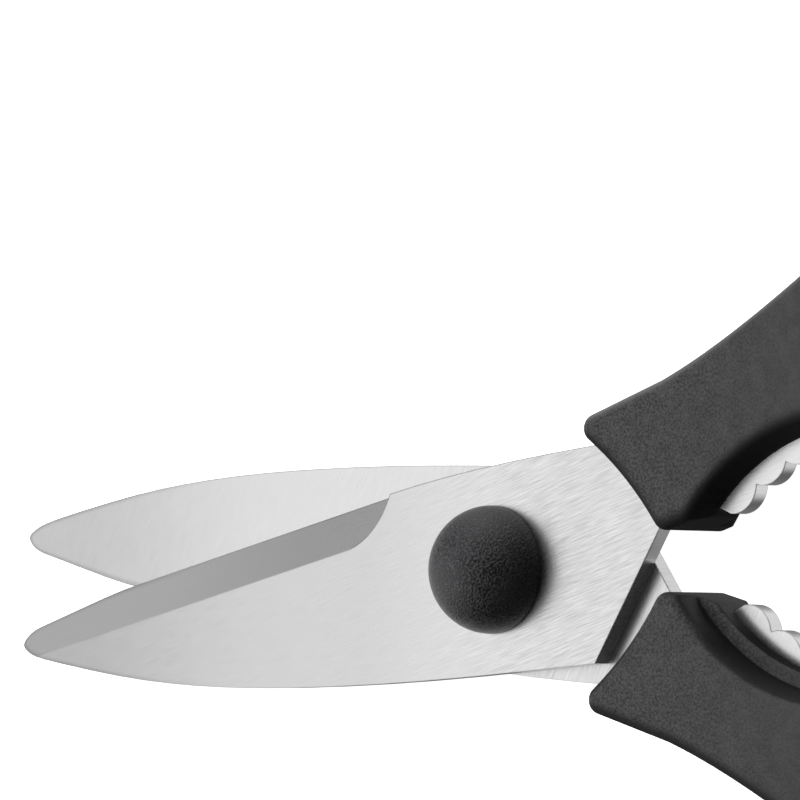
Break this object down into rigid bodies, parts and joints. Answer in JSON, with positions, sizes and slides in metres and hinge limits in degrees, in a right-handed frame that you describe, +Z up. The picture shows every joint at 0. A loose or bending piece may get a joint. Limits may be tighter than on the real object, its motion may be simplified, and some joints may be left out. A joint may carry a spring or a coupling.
{
  "type": "kitchen shears",
  "caption": "Take-apart kitchen shears with steel blades, black moulded finger loops, a toothed jar grip between the handles and a domed pivot cover.",
  "frame": {"origin": "pivot axis where the stud's key head meets the surface the shears lie on", "axes": "+X from the pivot along the bisector of the handles, blades to -X; +Z up from the surface; +Y to the upper handle"},
  "size_m": [0.2075, 0.1028, 0.0184],
  "materials": {
    "blade_steel": "fine brushed stainless steel",
    "handle_plastic": "finely grained black moulded plastic",
    "pivot_steel": "turned steel",
    "cap_plastic": "finely grained black moulded plastic"
  },
  "bodies": {
    "rear_half": {"rear_blade": "blade_steel", "lower_handle": "handle_plastic"},
    "front_half": {"front_blade": "blade_steel", "upper_handle": "handle_plastic", "pivot_stud": "pivot_steel", "stud_washer": "pivot_steel", "stud_nut": "pivot_steel", "pivot_cap": "cap_plastic"}
  },
  "joints": [
    {"name": "blade_pivot", "type": "hinge", "parent": "rear_half", "child": "front_half", "pos_m": [0, 0, 0.007], "axis": [0, 0, 1], "range_deg": [-9.59, 80.41]}
  ]
}
